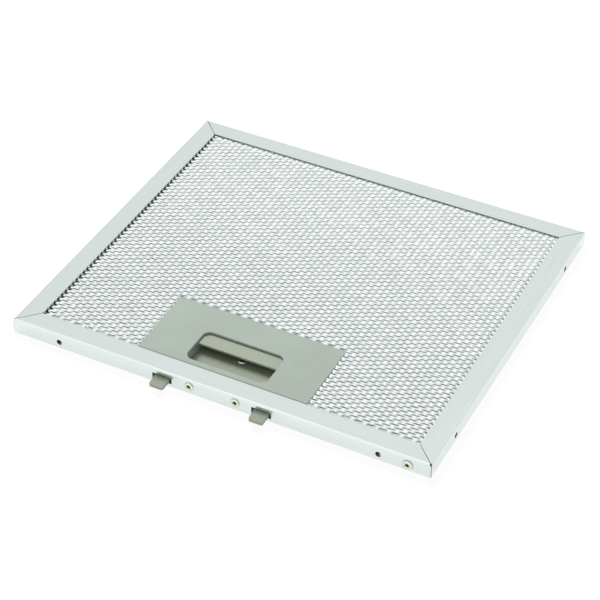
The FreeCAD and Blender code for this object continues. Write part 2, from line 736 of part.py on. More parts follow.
def make_slider():
    """Sliding latch: crossbar, finger grip and two sloping latches, moulded in one."""
    body = new_body("latch_slider")
    half_bar = "(dims.latch_spacing / 2 + dims.latch_width / 2)"
    bar = new_sketch(body, "slider_bar", offset=SLIDER_UNDER)
    rectangle(
        bar, across(f"-{half_bar}"), across(half_bar), from_front(BAR_FRONT), from_front(BAR_BACK)
    )
    pad(body, bar, f"{SLIDER_TOP} - {SLIDER_UNDER}")

    arms = new_sketch(body, "slider_arms", offset=SLIDER_UNDER)
    tip = from_front("-dims.latch_reach")
    shoulder = from_front("dims.sheet_wall + dims.tray_wall")
    for side in ("-", "+"):
        middle = across(f"0 {side} dims.latch_spacing / 2")
        left = f"{middle} - dims.latch_width / 2"
        right = f"{middle} + dims.latch_width / 2"
        arm_left = f"{middle} - dims.arm_width / 2"
        arm_right = f"{middle} + dims.arm_width / 2"
        outline(
            arms,
            [
                (left, tip),
                (right, tip),
                (right, shoulder),
                (arm_right, shoulder),
                (arm_right, from_front(BAR_FRONT)),
                (arm_left, from_front(BAR_FRONT)),
                (arm_left, shoulder),
                (left, shoulder),
            ],
        )
    pad(body, arms, "dims.latch_height")
    tip_y = value(tip)
    fillet(body, "dims.latch_round", lambda edge: is_upright(edge) and lies_at(edge, y=tip_y))

    slope = new_sketch(body, "latch_slope", "YZ_Plane", f"{LATCH_MIDDLE} - dims.plate_width / 2")
    root_top = f"{SLIDER_UNDER} + dims.latch_height"
    outline(
        slope,
        [
            (FRONT, root_top),
            (f"{tip} - dims.latch_round", root_top),
            (f"{tip} - dims.latch_round", f"{root_top} - dims.latch_drop"),
            (tip, f"{root_top} - dims.latch_drop"),
        ],
    )
    pocket(body, slope, "dims.plate_width", ahead=True)

    grip = new_sketch(body, "slider_grip", offset=f"{SLIDER_TOP} - dims.grip_wall")
    half_grip = "(dims.pocket_width / 2 - dims.slide_clearance)"
    rectangle(
        grip,
        across(f"-{half_grip}", PLATE_MIDDLE),
        across(half_grip, PLATE_MIDDLE),
        from_front("dims.grip_front"),
        from_front(BAR_FRONT),
    )
    pad(body, grip, "dims.grip_wall")
    pull = value(from_front("dims.grip_front"))
    fillet(body, "dims.grip_round", lambda edge: lies_at(edge, y=pull) and not is_upright(edge))

    seats = new_sketch(body, "spring_seats", "XZ_Plane", f"-({from_front(BAR_BACK)})")
    for side in ("-", "+"):
        place = across(f"0 {side} dims.spring_spacing / 2")
        circle(seats, place, SPRING_HEIGHT, "dims.spring_diameter + 2 * dims.spring_fit")
    pocket(body, seats, "dims.spring_seat", ahead=True)
    return body


def make_spring(label, side):
    """Compression spring between the crossbar's seat and the tray's far wall."""
    body = new_body(label)
    length = f"({TRAY_BACK} - {BAR_BACK} + dims.spring_seat)"
    wire = new_sketch(body, label + "_wire", "XZ_Plane")
    outer = "dims.spring_diameter / 2"
    rectangle(wire, f"{outer} - dims.spring_wire", outer, "0", "dims.spring_wire")
    coil = body.newObject("PartDesign::AdditiveHelix", label + "_coil")
    coil.Profile = wire
    coil.ReferenceAxis = (wire, ["V_Axis"])
    coil.Mode = "height-turns-angle"
    coil.setExpression("Height", f"{length} - dims.spring_wire")
    coil.setExpression("Turns", "dims.spring_turns")
    body.Tip = coil
    body.Placement.Rotation = FreeCAD.Rotation(FreeCAD.Vector(1, 0, 0), 90)
    body.setExpression("Placement.Base.x", across(f"0 {side} dims.spring_spacing / 2"))
    body.setExpression("Placement.Base.y", from_front(TRAY_BACK))
    body.setExpression("Placement.Base.z", SPRING_HEIGHT)
    document.recompute()
    return body


def make_rivet(label, head, grip, roll, place, turned):
    """Tubular rivet: dished head above its seat, shank, and an end rolled over below."""
    body = new_body(label)
    profile = new_sketch(body, label + "_profile", "XZ_Plane")
    head_radius = f"{head} / 2"
    outline(
        profile,
        [
            ("dims.rivet_bore / 2", "dims.rivet_dome - dims.rivet_dish"),
            ("dims.rivet_crest / 2", "dims.rivet_dome"),
            (head_radius, "0"),
            ("dims.rivet_shank / 2", "0"),
            ("dims.rivet_shank / 2", f"-({grip})"),
            ("dims.rivet_tail / 2", f"-({grip})"),
            ("dims.rivet_bore / 2", f"-({grip}) - {roll}"),
        ],
    )
    turning = body.newObject("PartDesign::Revolution", label + "_turning")
    turning.Profile = profile
    turning.ReferenceAxis = (profile, ["V_Axis"])
    turning.Angle = 360
    body.Tip = turning
    if turned:
        body.Placement.Rotation = FreeCAD.Rotation(FreeCAD.Vector(1, 0, 0), 90)
    for axis, text in zip("xyz", place):
        body.setExpression(f"Placement.Base.{axis}", text)
    document.recompute()
    return body


def make_rivets():
    """Rivets through the front web, and the one in the pocket floor with its washer."""
    web_and_wall = "dims.sheet_wall + dims.tray_wall"
    web_and_lap = "2 * dims.sheet_wall + dims.lap_gap"
    rivets = []
    for name, side in (("left", "-"), ("right", "+")):
        x = across(f"0 {side} dims.rivet_spacing / 2", RIVET_MIDDLE)
        place = (x, FRONT, "dims.rivet_height")
        rivets.append(
            make_rivet(
                f"handle_rivet_{name}", "dims.rivet_head", web_and_wall,
                "dims.rivet_roll", place, True,
            )
        )
    corner = ("dims.frame_width / 2 - dims.corner_inset", FRONT, "dims.corner_height")
    rivets.append(
        make_rivet(
            "corner_rivet", "dims.corner_head", web_and_lap,
            "dims.rivet_roll", corner, True,
        )
    )
    floor_y = from_front("dims.floor_rivet_place")
    through_floor = "dims.tray_floor + dims.cover_height + dims.washer_wall"
    rivets.append(
        make_rivet(
            "floor_rivet", "dims.floor_head", through_floor,
            "dims.floor_roll", (RIVET_MIDDLE, floor_y, FLOOR_TOP), False,
        )
    )
    washer = new_body("rivet_washer")
    ring = new_sketch(washer, "washer_ring", offset="dims.sheet_wall - dims.washer_wall")
    circle(ring, RIVET_MIDDLE, floor_y, "dims.washer_diameter")
    circle(ring, RIVET_MIDDLE, floor_y, "dims.rivet_shank + 2 * dims.rivet_fit")
    pad(washer, ring, "dims.washer_wall")
    return rivets + [washer]


def make_filter():
    bodies = [make_frame()]
    bodies += make_sheets()
    bodies += [make_plate(), make_tray(), make_slider()]
    bodies += [make_spring("return_spring_left", "-"), make_spring("return_spring_right", "+")]
    return bodies + make_rivets()


subparts = make_filter()
document.recompute()
for item in document.Objects:
    if "Invalid" in item.State or "Error" in item.State:
        raise RuntimeError(f"{item.Name} failed: {item.State}")
for part in subparts:
    if part.Shape.isNull() or not part.Shape.isValid() or len(part.Shape.Solids) != 1:
        raise RuntimeError(f"{part.Label} isn't one valid solid")
os.makedirs("parts", exist_ok=True)
for part in subparts:
    part.Shape.exportStep(f"parts/{part.Label}.step")
    print(part.Label, round(part.Shape.Volume, 1))
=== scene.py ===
# %% [markdown]
# # Cooker hood grease filter
#
# A folded aluminium channel holds a stack of expanded metal sheets. A moulded handle
# with a finger pocket sits at its front edge, and two sprung latches stick out of the
# front web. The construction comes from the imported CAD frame. This lesson gives it the
# looks: the fine mesh at its real pitch, turned rivets, wound springs and the finishes.

import math

import bmesh
import bpy
from mathutils import Matrix, Quaternion, Vector, noise


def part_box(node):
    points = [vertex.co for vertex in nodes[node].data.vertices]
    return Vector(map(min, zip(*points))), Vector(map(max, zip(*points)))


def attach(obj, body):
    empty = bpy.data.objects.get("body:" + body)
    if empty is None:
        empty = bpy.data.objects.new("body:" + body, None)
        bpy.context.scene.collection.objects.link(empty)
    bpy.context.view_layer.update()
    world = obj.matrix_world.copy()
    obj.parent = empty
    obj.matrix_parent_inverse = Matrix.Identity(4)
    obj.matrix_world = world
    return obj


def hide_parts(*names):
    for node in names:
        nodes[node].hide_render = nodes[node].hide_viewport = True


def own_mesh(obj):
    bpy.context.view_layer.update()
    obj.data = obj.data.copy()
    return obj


MM = 0.001
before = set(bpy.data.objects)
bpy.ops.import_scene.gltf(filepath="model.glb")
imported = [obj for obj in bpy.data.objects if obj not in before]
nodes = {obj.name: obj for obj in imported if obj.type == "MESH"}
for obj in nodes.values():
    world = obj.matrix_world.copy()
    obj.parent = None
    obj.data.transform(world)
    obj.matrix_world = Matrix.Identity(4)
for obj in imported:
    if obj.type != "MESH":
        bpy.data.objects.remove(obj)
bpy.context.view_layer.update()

# %% [markdown]
# ## The camera
#
# The photograph was taken from the front right, from a little under forty degrees up,
# with a long lens.

# %% Camera at the photograph's angle
CAMERA_PLACE = Vector((473.5, -960.0, 859.5)) * MM
CAMERA_AIM = Vector((-0.34640, 0.69425, -0.63089))
CAMERA_ROLL = math.radians(0.62)
FOCAL_LENGTH = 119.5

camera_data = bpy.data.cameras.new("photo_camera")
camera_data.lens = FOCAL_LENGTH
camera_data.sensor_width = 36
camera_data.clip_end = 20
camera = bpy.data.objects.new("photo_camera", camera_data)
bpy.context.collection.objects.link(camera)
camera.location = CAMERA_PLACE
camera.rotation_mode = "QUATERNION"
camera_roll = Quaternion((0, 0, 1), CAMERA_ROLL)
camera.rotation_quaternion = CAMERA_AIM.to_track_quat("-Z", "Y") @ camera_roll
bpy.context.scene.camera = camera
print("camera stands", round(CAMERA_PLACE.length / MM), "mm from the origin")

# %% [markdown]
# ## Helpers for finishes
#
# A colour is written as the sRGB hex that an image editor shows, and Cycles calculates
# in linear light, so one function converts. Another adds a node, sets its fields and
# links its inputs, so that a material reads as a list of what it is made of.

# %% Colour and node helpers
def linear(hex_code):
    """Linear RGBA of an sRGB hex colour."""
    channels = [int(hex_code[i : i + 2], 16) / 255 for i in (1, 3, 5)]
    return [c / 12.92 if c <= 0.04045 else ((c + 0.055) / 1.055) ** 2.4 for c in channels] + [1]


def add_node(tree, kind, settings=None, inputs=None):
    """Add a node; inputs hold plain values, or sockets that are linked."""
    node = tree.nodes.new(kind)
    for field, setting in (settings or {}).items():
        setattr(node, field, setting)
    for name, content in (inputs or {}).items():
        if isinstance(content, bpy.types.NodeSocket):
            tree.links.new(content, node.inputs[name])
        else:
            node.inputs[name].default_value = content
    return node


def new_material(name):
    """A new material, its node tree, its shader, and object coordinates in millimetres."""
    material = bpy.data.materials.new(name)
    material.use_nodes = True
    tree = material.node_tree
    shader = tree.nodes["Principled BSDF"]
    place = add_node(tree, "ShaderNodeTexCoord")
    millimetres = add_node(
        tree,
        "ShaderNodeVectorMath",
        {"operation": "SCALE"},
        {0: place.outputs["Object"], "Scale": 1 / MM},
    )
    return material, tree, shader, millimetres.outputs[0]


print("mid grey is", round(linear("#808080")[0], 3), "in linear light")

# %% [markdown]
# ## Rolled aluminium
#
# The channel is folded from bright rolled strip. The rolls leave fine streaks along the
# strip, so a rail's grain runs along it: along X on the front and far rails, along Y on
# the side rails. Two stretched noises make the streaks, and the mitre, where the rails'
# distances to their outer edges are equal, decides which of them shows.

# %% Rolled aluminium material
CHANNEL_LOW, CHANNEL_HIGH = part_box("frame_channel")
HALF_WIDTH = CHANNEL_HIGH.x / MM
HALF_DEPTH = CHANNEL_HIGH.y / MM
STREAK_LENGTH = 60
STREAK_WIDTH = 0.7

rolled_aluminium, tree, shader, mm_place = new_material("rolled_aluminium")
axes = add_node(tree, "ShaderNodeSeparateXYZ", inputs={0: mm_place})
from_middle = {}
for axis, half in (("X", HALF_WIDTH), ("Y", HALF_DEPTH)):
    distance = add_node(tree, "ShaderNodeMath", {"operation": "ABSOLUTE"}, {0: axes.outputs[axis]})
    from_middle[axis] = add_node(
        tree, "ShaderNodeMath", {"operation": "SUBTRACT"}, {0: distance.outputs[0], 1: half}
    )
side_rail = add_node(
    tree,
    "ShaderNodeMath",
    {"operation": "GREATER_THAN"},
    {0: from_middle["X"].outputs[0], 1: from_middle["Y"].outputs[0]},
)
streaks = []
for stretch in (
    (1 / STREAK_LENGTH, 1 / STREAK_WIDTH, 1 / STREAK_WIDTH),
    (1 / STREAK_WIDTH, 1 / STREAK_LENGTH, 1 / STREAK_WIDTH),
):
    along = add_node(tree, "ShaderNodeMapping", inputs={"Vector": mm_place, "Scale": stretch})
    streak = add_node(
        tree, "ShaderNodeTexNoise", inputs={"Vector": along.outputs[0], "Scale": 1, "Detail": 3}
    )
    streaks.append(streak)
grain = add_node(
    tree,
    "ShaderNodeMix",
    {"data_type": "FLOAT"},
    {"Factor": side_rail.outputs[0], "A": streaks[0].outputs["Fac"], "B": streaks[1].outputs["Fac"]},
)
tint = add_node(tree, "ShaderNodeValToRGB", inputs={"Fac": grain.outputs["Result"]})
tint.color_ramp.elements[0].position = 0.3
tint.color_ramp.elements[0].color = linear("#D8E1DE")
tint.color_ramp.elements[1].position = 0.7
tint.color_ramp.elements[1].color = linear("#E1E9E6")
polish = add_node(
    tree,
    "ShaderNodeMapRange",
    inputs={"Value": grain.outputs["Result"], "To Min": 0.26, "To Max": 0.34},
)
ridges = add_node(
    tree,
    "ShaderNodeBump",
    inputs={"Height": grain.outputs["Result"], "Strength": 0.02, "Distance": 0.05 * MM},
)
tree.links.new(tint.outputs["Color"], shader.inputs["Base Color"])
tree.links.new(polish.outputs["Result"], shader.inputs["Roughness"])
tree.links.new(ridges.outputs["Normal"], shader.inputs["Normal"])
shader.inputs["Metallic"].default_value = 1
print("rolled aluminium has", len(tree.nodes), "nodes")

# %% [markdown]
# ## Expanded aluminium
#
# The mesh is thin strip, slit and stretched, so its faces are bright where the tool
# pressed them and a little duller where the metal tore. A noise of about two strands'
# width varies tone and polish from strand to strand.

# %% Expanded aluminium material
STRAND_PATCH = 3.0

expanded_aluminium, tree, shader, mm_place = new_material("expanded_aluminium")
patches = add_node(
    tree, "ShaderNodeTexNoise", inputs={"Vector": mm_place, "Scale": 1 / STRAND_PATCH, "Detail": 2}
)
tint = add_node(tree, "ShaderNodeValToRGB", inputs={"Fac": patches.outputs["Fac"]})
tint.color_ramp.elements[0].position = 0.35
tint.color_ramp.elements[0].color = linear("#E0E7E6")
tint.color_ramp.elements[1].position = 0.65
tint.color_ramp.elements[1].color = linear("#F4F8F7")
polish = add_node(
    tree, "ShaderNodeMapRange", inputs={"Value": patches.outputs["Fac"], "To Min": 0.3, "To Max": 0.45}
)
tree.links.new(tint.outputs["Color"], shader.inputs["Base Color"])
tree.links.new(polish.outputs["Result"], shader.inputs["Roughness"])
shader.inputs["Metallic"].default_value = 1
print("expanded aluminium has", len(tree.nodes), "nodes")

# %% [markdown]
# The layers inside are cut from foil, which creases and goes dull when it is stretched.
# They lie in the shade of the cover, so their metal is painted darker than it is, as
# painted shade, and one roughness is enough.

# %% Foil material
foil_with_painted_shade, tree, shader, mm_place = new_material("foil_with_painted_shade")
creases = add_node(
    tree, "ShaderNodeTexNoise", inputs={"Vector": mm_place, "Scale": 1 / STRAND_PATCH, "Detail": 3}
)
tint = add_node(tree, "ShaderNodeValToRGB", inputs={"Fac": creases.outputs["Fac"]})
# Both tones are darker than bright foil: painted shade of the cover
tint.color_ramp.elements[0].color = linear("#98A09E")
tint.color_ramp.elements[1].color = linear("#C4CBC9")
tree.links.new(tint.outputs["Color"], shader.inputs["Base Color"])
shader.inputs["Metallic"].default_value = 1
shader.inputs["Roughness"].default_value = 0.4
print("foil has", len(tree.nodes), "nodes")

# %% [markdown]
# ## Grey moulded plastic
#
# Plate, tray and slider are moulded in ABS, with the fine matt texture of a spark-eroded
# mould. The plate is a cool sage grey and the slider a shade warmer. The tray's darker
# grey is painted shade, because it lies deep in the pocket.
# A dark line is painted on the plate behind the front flange's edge and fades out away
# from it: it is painted shade of that edge, where the plate passes under the flange. The
# grit of the real mould is about a tenth of a millimetre, too fine for this picture, so it
# is drawn at 0.6 mm with very little height.

# %% Moulded plastic materials
MOULD_GRIT = 0.6
CLOUD_SIZE = 25
RAIL = 14.3 * MM
FLANGE_EDGE = (CHANNEL_LOW.y + RAIL) / MM
# The plate is darkened between these two places, and in this colour, as painted shade of the flange's
# edge
PAINTED_SHADE_START = FLANGE_EDGE + 0.8
PAINTED_SHADE_END = FLANGE_EDGE + 2.3
PAINTED_SHADE_COLOUR = "#4A5046"


def moulded_plastic(name, dark, pale, edge_shade_strength):
    """Matt ABS whose tone drifts a little, with a line of painted shade where the flange's edge rests.
    """
    material, tree, shader, mm_place = new_material(name)
    grit = add_node(
        tree, "ShaderNodeTexNoise", inputs={"Vector": mm_place, "Scale": 1 / MOULD_GRIT, "Detail": 2}
    )
    clouds = add_node(
        tree, "ShaderNodeTexNoise", inputs={"Vector": mm_place, "Scale": 1 / CLOUD_SIZE, "Detail": 3}
    )
    tint = add_node(tree, "ShaderNodeValToRGB", inputs={"Fac": clouds.outputs["Fac"]})
    tint.color_ramp.elements[0].position = 0.3
    tint.color_ramp.elements[0].color = linear(dark)
    tint.color_ramp.elements[1].position = 0.7
    tint.color_ramp.elements[1].color = linear(pale)
    dents = add_node(
        tree,
        "ShaderNodeBump",
        inputs={"Height": grit.outputs["Fac"], "Strength": 0.12, "Distance": 0.06 * MM},
    )
    axes = add_node(tree, "ShaderNodeSeparateXYZ", inputs={0: mm_place})
    # Painted shade: a dark line that fades out behind the front flange's edge
    edge_shade_ramp = add_node(
        tree,
        "ShaderNodeMapRange",
        inputs={
            "Value": axes.outputs["Y"],
            "From Min": PAINTED_SHADE_START,
            "From Max": PAINTED_SHADE_END,
            "To Min": edge_shade_strength,
            "To Max": 0,
        },
    )
    edge_shaded_tint = add_node(
        tree,
        "ShaderNodeMix",
        {"data_type": "RGBA"},
        {"Factor": edge_shade_ramp.outputs["Result"], "A": tint.outputs["Color"], "B": linear(PAINTED_SHADE_COLOUR)},
    )
    tree.links.new(edge_shaded_tint.outputs["Result"], shader.inputs["Base Color"])
    tree.links.new(dents.outputs["Normal"], shader.inputs["Normal"])
    shader.inputs["Roughness"].default_value = 0.55
    shader.inputs["IOR"].default_value = 1.5
    print(name, "has", len(tree.nodes), "nodes")
    return material


# The last number is how strongly the painted shade of the flange's edge darkens the plate
sage_abs = moulded_plastic("sage_grey_abs", "#AEB9AF", "#B5C0B6", 0.75)
warm_abs = moulded_plastic("warm_grey_abs", "#A9B1A0", "#AFB8A6", 0)
# The tray's darker grey is painted shade of the deep pocket
pocket_shaded_tray_abs = moulded_plastic("tray_grey_abs_painted_shade", "#9CA493", "#A3AB99", 0)

# %% [markdown]
# ## Zinc plated rivets and spring wire
#
# The rivets are steel with a zinc plating. The heads are worn to a pale silver, the dish
# keeps some of the plating's yellow chromate and the bore keeps all of it. The bore's dark
# olive is also painted shade of the hole, so they are three finishes. The springs are bare
# drawn wire.

# %% Rivet and spring materials
PLATING_PATCH = 1.8
WIRE_MARK = 0.4


def plating_material(name, dark, pale, roughness):
    """Plated steel whose tone shifts over a millimetre or two."""
    material, tree, shader, mm_place = new_material(name)
    patches = add_node(
        tree, "ShaderNodeTexNoise", inputs={"Vector": mm_place, "Scale": 1 / PLATING_PATCH, "Detail": 2}
    )
    tint = add_node(tree, "ShaderNodeValToRGB", inputs={"Fac": patches.outputs["Fac"]})
    tint.color_ramp.elements[0].position = 0.35
    tint.color_ramp.elements[0].color = linear(dark)
    tint.color_ramp.elements[1].position = 0.65
    tint.color_ramp.elements[1].color = linear(pale)
    tree.links.new(tint.outputs["Color"], shader.inputs["Base Color"])
    shader.inputs["Metallic"].default_value = 1
    shader.inputs["Roughness"].default_value = roughness
    return material


zinc_plating = plating_material("zinc_plating", "#CBD1C3", "#E3E8DE", 0.34)
worn_chromate = plating_material("worn_yellow_chromate", "#9C9E68", "#CACD9C", 0.38)
# The bore's colour is yellow chromate darkened with painted shade of the hole
chromate_and_painted_bore_shade = plating_material("chromate_and_painted_bore_shade", "#5C5A30", "#7C7A48", 0.45)

spring_steel, tree, shader, mm_place = new_material("drawn_spring_steel")
marks = add_node(
    tree, "ShaderNodeTexNoise", inputs={"Vector": mm_place, "Scale": 1 / WIRE_MARK, "Detail": 2}
)
polish = add_node(
    tree, "ShaderNodeMapRange", inputs={"Value": marks.outputs["Fac"], "To Min": 0.2, "To Max": 0.4}
)
tree.links.new(polish.outputs["Result"], shader.inputs["Roughness"])
shader.inputs["Base Color"].default_value = linear("#A9ABAC")
shader.inputs["Metallic"].default_value = 1
print("plating and wire are made")

# %% [markdown]
# ## New pieces in general
#
# Each new piece is a bmesh that becomes an object at the origin, rides on a body of the
# CAD frame and stands for one of its nodes, so that it moves as that node does.

# %% From a bmesh to a piece
def finish_piece(bm, name, materials, node):
    """Make the bmesh an object that rides on the filter and stands for a CAD node."""
    mesh = bpy.data.meshes.new(name)
    bm.to_mesh(mesh)
    bm.free()
    for material in materials:
        mesh.materials.append(material)
    piece = bpy.data.objects.new(name, mesh)
    bpy.context.collection.objects.link(piece)
    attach(piece, "filter")
    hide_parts(node)
    triangles = sum(len(face.vertices) - 2 for face in mesh.polygons)
    print(name, "has", triangles, "triangles")
    return piece


print("new pieces ride on the filter")

# %% [markdown]
# ## The expanded metal
#
# An expanded sheet is slit in staggered rows and pulled open. What is left between two
# rows of slits is one long strand, which runs in steps from a bond on one side to a bond
# on the other. The strand's section leans, because the pull turns it. So a row is one
# small rectangle, leaned over and extruded step by step along X, and a sheet is the row
# repeated at half the short pitch, every second row moved on by half the long pitch.
# A texture with holes would be lighter, but it would look flat from the low side.

# %% One row of strands
# Shares of half a long pitch, and of the climb over it, that the bond at either end takes
BOND_RUN = 0.38
BOND_CLIMB = 0.12


def strand_row(long_pitch, short_pitch, strand, wall, lean, length):
    """Mesh of one strand row along X, with its near bonds at y = 0 and z = 0 halfway."""
    bm = bmesh.new()
    section = bmesh.ops.create_grid(bm, x_segments=1, y_segments=1, size=0.5)["verts"]
    bmesh.ops.scale(bm, vec=(strand, wall, 1), verts=section)
    # The flat section is turned to stand across X, then leaned: its wide way rises with Y
    bmesh.ops.rotate(bm, matrix=Matrix(((0, 0, 1), (1, 0, 0), (0, 1, 0))), verts=section)
    bmesh.ops.rotate(bm, matrix=Matrix.Rotation(lean, 3, "X"), verts=section)
    half_y = strand / 2 * math.cos(lean)
    half_z = strand / 2 * math.sin(lean)
    bmesh.ops.translate(bm, vec=(0, half_y, half_z), verts=section)
    climb = Vector((0, short_pitch / 2 - 2 * half_y, -2 * half_z))
    # Half a pitch in three steps: along one bond, up the leg, and along the next bond
    along = Vector((long_pitch / 2, 0, 0))
    bond = (BOND_RUN, BOND_CLIMB)
    leg = (1 - 2 * BOND_RUN, 1 - 2 * BOND_CLIMB)
    up = [along * run + climb * rise for run, rise in (bond, leg, bond)]
    down = [along * run - climb * rise for run, rise in (bond, leg, bond)]
    edges = bm.edges[:]
    repeats = math.ceil(length / long_pitch)
    for step in (up + down) * repeats:
        extruded = bmesh.ops.extrude_edge_only(bm, edges=edges)["geom"]
        moved = [item for item in extruded if isinstance(item, bmesh.types.BMVert)]
        edges = [item for item in extruded if isinstance(item, bmesh.types.BMEdge)]
        edges = [edge for edge in edges if all(vert in moved for vert in edge.verts)]
        bmesh.ops.translate(bm, vec=step, verts=moved)
    bmesh.ops.contextual_create(bm, geom=edges)
    bmesh.ops.translate(bm, vec=(-repeats * long_pitch / 2, 0, 0), verts=bm.verts[:])
    bmesh.ops.recalc_face_normals(bm, faces=bm.faces[:])
    for face in bm.faces:
        face.smooth = True
    row = bpy.data.meshes.new("strand_row")
    bm.to_mesh(row)
    bm.free()
    return row


COVER = {
    "long_pitch": 8.6 * MM,
    "short_pitch": 4.65 * MM,
    "strand": 1.26 * MM,
    "wall": 0.3 * MM,
    "lean": math.radians(42),
}
LAYER = {
    "long_pitch": 13 * MM,
    "short_pitch": 7 * MM,
    "strand": 0.95 * MM,
    "wall": 0.16 * MM,
    "lean": math.radians(38),
}
SHEET_LENGTH = 310 * MM

cover_row = strand_row(**COVER, length=SHEET_LENGTH)
layer_row = strand_row(**LAYER, length=SHEET_LENGTH)
print("a cover row has", len(cover_row.polygons), "faces, a layer row", len(layer_row.polygons))

# %% [markdown]
# A sheet is cut from the endless lattice as a real one is sheared from the coil: a bisect
# on each of its four sides, after which the cut strands are capped. A cap meets its strand
# at a right angle, so the edges are sorted into smooth and sharp after the cut.

# %% Sheets cut from the lattice
SHARP_ANGLE = math.radians(50)


def cap_cuts(bm):
    """Close cut strands, and keep every steep edge sharp."""
    bmesh.ops.holes_fill(bm, edges=[edge for edge in bm.edges if edge.is_boundary], sides=0)
    for edge in bm.edges:
        edge.smooth = edge.calc_face_angle(0) < SHARP_ANGLE


def split_along(bm, point, outward, clear):
    """Cut everything in a bmesh along a plane, and clear its outer side if asked to."""
    everything = bm.verts[:] + bm.edges[:] + bm.faces[:]
    bmesh.ops.bisect_plane(bm, geom=everything, plane_co=point, plane_no=outward, clear_outer=clear)


def cut_sheet(row, gauge, low, high):
    """Bmesh of the part of the lattice between two corners."""
    bm = bmesh.new()
    pitch = gauge["short_pitch"] / 2
    for number in range(math.floor(low.y / pitch) - 1, math.ceil(high.y / pitch) + 1):
        start = len(bm.verts)
        bm.from_mesh(row)
        bm.verts.ensure_lookup_table()
        place = Vector(((number % 2) * gauge["long_pitch"] / 2, number * pitch, 0))
        bmesh.ops.translate(bm, vec=place, verts=bm.verts[start:])
    for corner, way in ((low, -1), (high, 1)):
        split_along(bm, corner, Vector((way, 0, 0)), True)
        split_along(bm, corner, Vector((0, way, 0)), True)
    cap_cuts(bm)
    return bm


print("edges steeper than", round(math.degrees(SHARP_ANGLE)), "degrees stay sharp")

# %% [markdown]
# A real sheet isn't a perfect lattice. It is stretched unevenly by a fraction of a
# millimetre, lies in shallow waves, and dives under the flanges where the fold pinches
# it: steeply along the front and right rails, in a wider hollow along the other two.

# %% Uneven stretch and pinched edges
WINDOW_X = CHANNEL_HIGH.x - RAIL
WINDOW_Y = CHANNEL_HIGH.y - RAIL
STEEP_RUN = 1.6 * MM
HOLLOW_RUN = 3.5 * MM
STRETCH_SIZE = 14
WAVE_SIZE = 37
STRETCH_SEED = 5

# Without a seed, the vector noise is offset by the clock and differs from run to run
noise.seed_set(STRETCH_SEED)


def settle(bm, level, wave, stretch, steep_dive, hollow_dive):
    """Move a flat lattice to its level, with waves, uneven stretch and a dive at the edges."""
    for vert in bm.verts:
        place = vert.co / MM
        nudge = noise.noise_vector(place / STRETCH_SIZE) * stretch
        vert.co += Vector((nudge.x, nudge.y, level + wave * noise.noise(place / WAVE_SIZE)))
        steep = min(WINDOW_X - vert.co.x, WINDOW_Y + vert.co.y) / STEEP_RUN
        hollow = min(WINDOW_X + vert.co.x, WINDOW_Y - vert.co.y) / HOLLOW_RUN
        for inside, dive in ((steep, steep_dive), (hollow, hollow_dive)):
            ramp = min(max(inside, 0), 1)
            vert.co.z -= dive * (1 - ramp * ramp * (3 - 2 * ramp))


print("the window is", round(2 * WINDOW_X / MM, 1), "by", round(2 * WINDOW_Y / MM, 1), "mm")

# %% [markdown]
# ## The sheets of the stack
#
# Two covers of fine mesh hold four looser layers of thin foil between them. The front
# cover and the layers are notched for the handle; the back cover is whole. The covers
# bulge a little out of the window, and neighbouring layers lean in opposite ways.

# %% Front cover
PLATE_LOW, PLATE_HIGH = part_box("handle_plate")
SHEET_LOW, SHEET_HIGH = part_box("front_mesh")
PLATE_PLAY = 0.1 * MM


def notched_sheet(row, gauge):
    """Sheet of the stack with the handle's notch cut out of its front edge."""
    bm = cut_sheet(row, gauge, SHEET_LOW, SHEET_HIGH)
    near = PLATE_LOW - Vector((PLATE_PLAY, 0, 0))
    far = PLATE_HIGH + Vector((PLATE_PLAY, PLATE_PLAY, 0))
    split_along(bm, near, Vector((1, 0, 0)), False)
    split_along(bm, far, Vector((1, 0, 0)), False)
    split_along(bm, far, Vector((0, 1, 0)), False)
    notch = []
    for face in bm.faces:
        middle = face.calc_center_median()
        if near.x < middle.x < far.x and middle.y < far.y:
            notch.append(face)
    bmesh.ops.delete(bm, geom=notch, context="FACES")
    cap_cuts(bm)
    return bm


COVER_LEVEL = 10.8 * MM
front_bm = notched_sheet(cover_row, COVER)
settle(
    front_bm,
    level=COVER_LEVEL,
    wave=0.1 * MM,
    stretch=0.3 * MM,
    steep_dive=0.8 * MM,
    hollow_dive=1.4 * MM,
)
finish_piece(
    front_bm, "front_cover_mesh", [expanded_aluminium], "front_mesh"
)

# %% Back cover
BACK_LEVEL = CHANNEL_HIGH.z - COVER_LEVEL
back_bm = cut_sheet(cover_row, COVER, SHEET_LOW, SHEET_HIGH)
settle(
    back_bm,
    level=0,
    wave=0.1 * MM,
    stretch=0.3 * MM,
    steep_dive=0.8 * MM,
    hollow_dive=0.8 * MM,
)
bmesh.ops.rotate(back_bm, matrix=Matrix.Rotation(math.pi, 3, "X"), verts=back_bm.verts[:])
bmesh.ops.translate(back_bm, vec=(0, 0, BACK_LEVEL), verts=back_bm.verts[:])
finish_piece(
    back_bm, "back_cover_mesh", [expanded_aluminium], "back_mesh"
)

